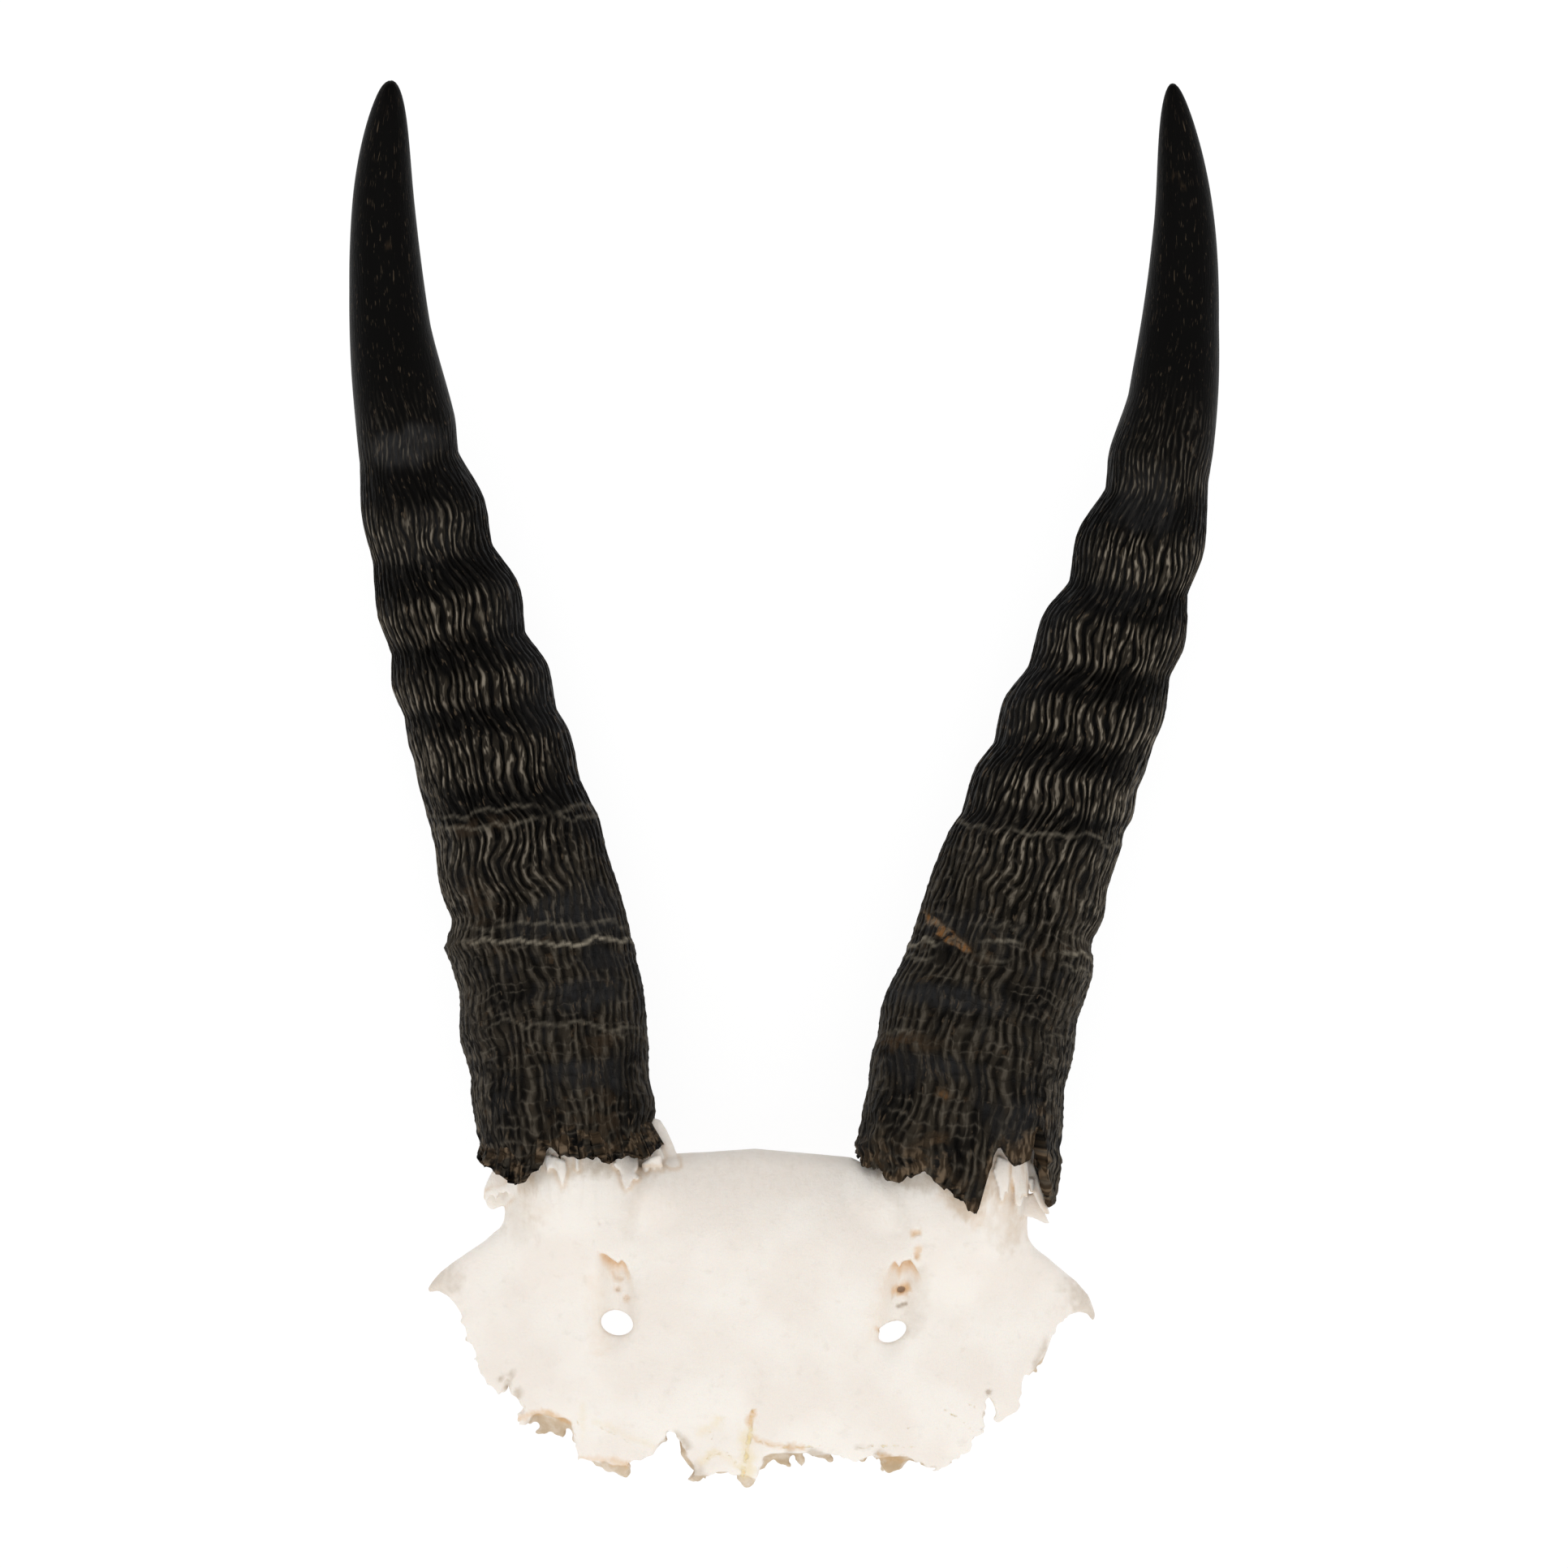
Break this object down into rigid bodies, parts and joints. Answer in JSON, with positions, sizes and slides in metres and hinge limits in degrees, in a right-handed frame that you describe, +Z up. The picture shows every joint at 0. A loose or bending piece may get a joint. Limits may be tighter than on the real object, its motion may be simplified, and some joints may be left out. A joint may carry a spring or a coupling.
{
  "type": "mountain reedbuck skull plate",
  "caption": "Frontal bone plate of a mountain reedbuck with its ringed horns, which curve forward at their tips, lying on its back.",
  "frame": {"origin": "middle of the bounding box's bottom: the centre of the footprint, on the surface that the plate lies on", "axes": "+Z up, away from the surface, out of the forehead; +Y from the bone to the horn tips; +X to the right as one looks down on the forehead with the horns pointing up"},
  "size_m": [0.134, 0.2154, 0.0376],
  "materials": {
    "bone": "matt",
    "horn": "satin"
  },
  "bodies": {
    "root": {"skull_plate": "bone", "horn_sheath_left": "horn", "horn_sheath_right": "horn"}
  },
  "joints": []
}
